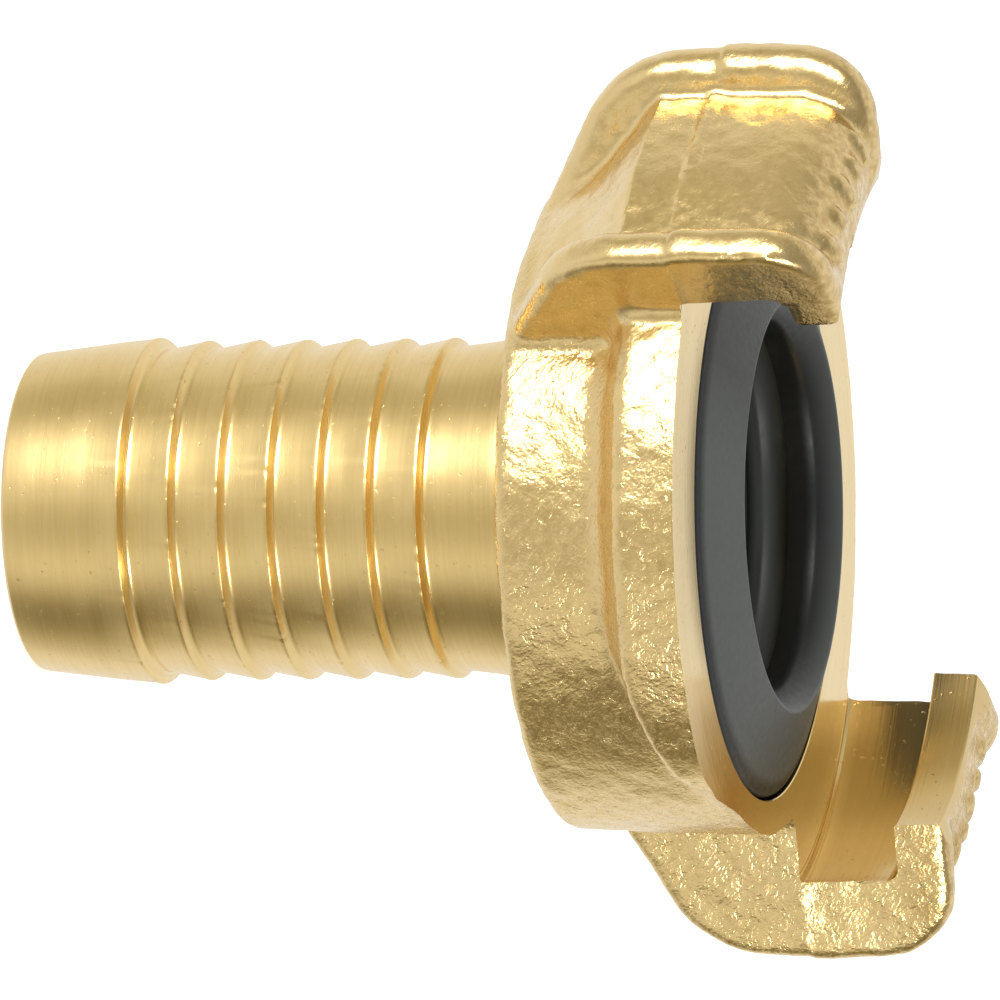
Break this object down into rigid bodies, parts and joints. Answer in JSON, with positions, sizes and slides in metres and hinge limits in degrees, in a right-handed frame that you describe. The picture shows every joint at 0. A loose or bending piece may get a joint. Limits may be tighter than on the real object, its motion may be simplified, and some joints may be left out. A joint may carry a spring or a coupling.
{
  "type": "hose coupling",
  "caption": "Claw coupling half with a barbed hose tail, two hooked claws, raised cam rims and a conical rubber face seal.",
  "frame": {"origin": "centre of the tail's flat end face", "axes": "+Z along the water way towards the mating face, +X through the middle of one claw"},
  "size_m": [0.0548, 0.045, 0.053],
  "materials": {
    "brass": "forged and tumbled outside, fine turned on the tail and the mating faces",
    "rubber": "moulded, satin"
  },
  "bodies": {
    "root": {"coupling_body": "brass", "seal_ring": "rubber"}
  },
  "joints": []
}
